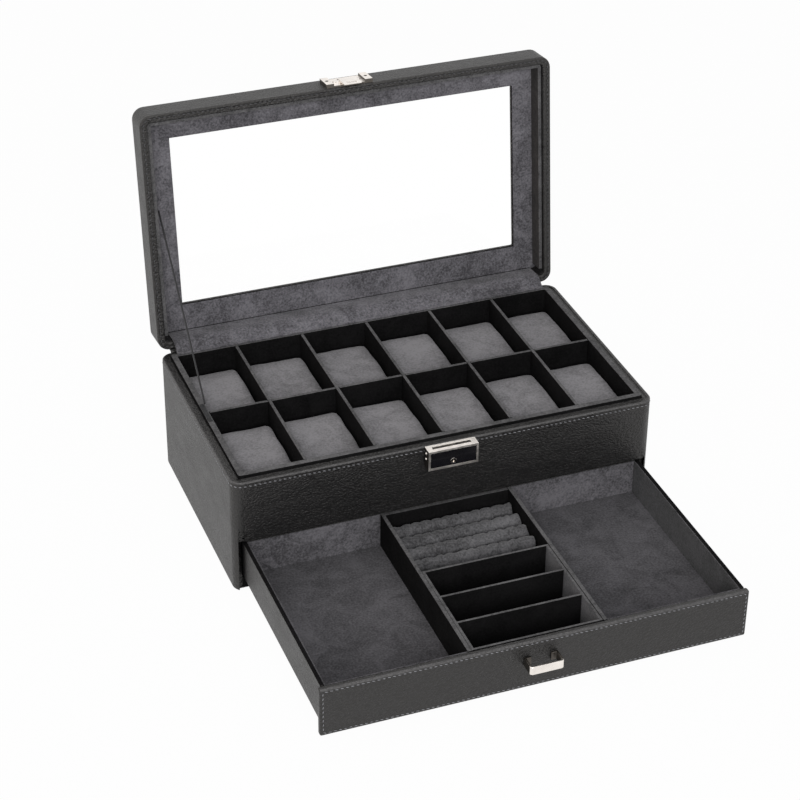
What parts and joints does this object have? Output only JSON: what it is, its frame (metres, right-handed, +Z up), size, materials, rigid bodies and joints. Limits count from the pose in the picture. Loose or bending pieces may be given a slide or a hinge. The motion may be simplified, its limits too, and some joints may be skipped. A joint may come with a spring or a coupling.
{
  "type": "watch box",
  "caption": "Leather-covered watch box with a glass-topped hinged lid, a divided tray of removable pillows, and a lined drawer with a ring pad and slots.",
  "frame": {"origin": "centre of the underside of the case", "axes": "+X along the front to the right, +Y to the back, +Z up; the lid stands open and the drawer is pulled out at rest"},
  "size_m": [0.33, 0.421, 0.2904],
  "materials": {
    "leather": "charcoal-black leatherette with a fine pebble grain over board",
    "suede": "charcoal-grey suede cloth over board",
    "pillow_suede": "grey suede cloth over soft foam",
    "black_lining": "near-black velvet over board",
    "felt": "black felt",
    "glass": "clear 2 mm glass",
    "strap": "black woven tape",
    "black_gloss": "polished black enamel on metal",
    "bright_metal": "polished, slightly warm nickel"
  },
  "bodies": {
    "case": {"base_felt": "felt", "floor_board": "leather", "left_wall": "leather", "right_wall": "leather", "back_wall": "leather", "front_rail": "leather", "tray_shelf": "leather", "tray_floor_lining": "suede", "tray_liner": "suede", "long_divider": "black_lining", "cross_dividers": "black_lining", "hinge_cover": "suede", "leather_spine": "leather", "stay_strap": "strap", "stay_tab_case": "strap", "lock_housing": "bright_metal", "lock_rivets": "bright_metal", "lock_screw": "bright_metal", "lock_spring": "bright_metal"},
    "lid": {"lid_frame": "leather", "lid_top_frame": "leather", "lid_glass": "glass", "lid_panel": "suede", "lid_lining": "suede", "stay_tab_lid": "strap", "hasp_plate": "bright_metal", "hasp_striker": "bright_metal", "hasp_screws": "bright_metal"},
    "drawer": {"drawer_front": "leather", "drawer_left_side": "leather", "drawer_right_side": "leather", "drawer_back": "leather", "drawer_bottom": "leather", "drawer_suede_left": "suede", "drawer_suede_right": "suede", "organiser_left_wall": "suede", "organiser_right_wall": "suede", "organiser_back_wall": "suede", "ring_pad": "suede", "slot_insert": "black_lining", "drawer_pull": "bright_metal", "pull_screws": "bright_metal"},
    "push_plate": {"lock_button": "black_gloss", "lock_catch": "bright_metal"},
    "key_cylinder": {"key_cylinder": "bright_metal"},
    "pillow_01": {"pillow_01": "pillow_suede"},
    "pillow_02": {"pillow_02": "pillow_suede"},
    "pillow_03": {"pillow_03": "pillow_suede"},
    "pillow_04": {"pillow_04": "pillow_suede"},
    "pillow_05": {"pillow_05": "pillow_suede"},
    "pillow_06": {"pillow_06": "pillow_suede"},
    "pillow_07": {"pillow_07": "pillow_suede"},
    "pillow_08": {"pillow_08": "pillow_suede"},
    "pillow_09": {"pillow_09": "pillow_suede"},
    "pillow_10": {"pillow_10": "pillow_suede"},
    "pillow_11": {"pillow_11": "pillow_suede"},
    "pillow_12": {"pillow_12": "pillow_suede"}
  },
  "joints": [
    {"name": "lid_hinge", "type": "hinge", "parent": "case", "child": "lid", "pos_m": [0, 0.0962, 0.0953], "axis": [-1, 0, 0], "range_deg": [-96.5, 0], "deforming": ["hinge_cover", "leather_spine", "stay_strap"]},
    {"name": "drawer_slide", "type": "slide", "parent": "case", "child": "drawer", "axis": [0, -1, 0], "range_m": [-0.172, 0]},
    {"name": "lock_press", "type": "slide", "parent": "case", "child": "push_plate", "axis": [0, 1, 0], "range_m": [0, 0.0018], "stiffness_N_per_m": 400, "springref_m": -0.001, "deforming": ["lock_spring"]},
    {"name": "key_turn", "type": "hinge", "parent": "push_plate", "child": "key_cylinder", "pos_m": [0, -0.1032, 0.0841], "axis": [0, 1, 0], "range_deg": [0, 90]},
    {"name": "pillow_01_lift", "type": "slide", "parent": "case", "child": "pillow_01", "axis": [0, 0, 1], "range_m": [0, 0.055]},
    {"name": "pillow_02_lift", "type": "slide", "parent": "case", "child": "pillow_02", "axis": [0, 0, 1], "range_m": [0, 0.055]},
    {"name": "pillow_03_lift", "type": "slide", "parent": "case", "child": "pillow_03", "axis": [0, 0, 1], "range_m": [0, 0.055]},
    {"name": "pillow_04_lift", "type": "slide", "parent": "case", "child": "pillow_04", "axis": [0, 0, 1], "range_m": [0, 0.055]},
    {"name": "pillow_05_lift", "type": "slide", "parent": "case", "child": "pillow_05", "axis": [0, 0, 1], "range_m": [0, 0.055]},
    {"name": "pillow_06_lift", "type": "slide", "parent": "case", "child": "pillow_06", "axis": [0, 0, 1], "range_m": [0, 0.055]},
    {"name": "pillow_07_lift", "type": "slide", "parent": "case", "child": "pillow_07", "axis": [0, 0, 1], "range_m": [0, 0.055]},
    {"name": "pillow_08_lift", "type": "slide", "parent": "case", "child": "pillow_08", "axis": [0, 0, 1], "range_m": [0, 0.055]},
    {"name": "pillow_09_lift", "type": "slide", "parent": "case", "child": "pillow_09", "axis": [0, 0, 1], "range_m": [0, 0.055]},
    {"name": "pillow_10_lift", "type": "slide", "parent": "case", "child": "pillow_10", "axis": [0, 0, 1], "range_m": [0, 0.055]},
    {"name": "pillow_11_lift", "type": "slide", "parent": "case", "child": "pillow_11", "axis": [0, 0, 1], "range_m": [0, 0.055]},
    {"name": "pillow_12_lift", "type": "slide", "parent": "case", "child": "pillow_12", "axis": [0, 0, 1], "range_m": [0, 0.055]}
  ]
}
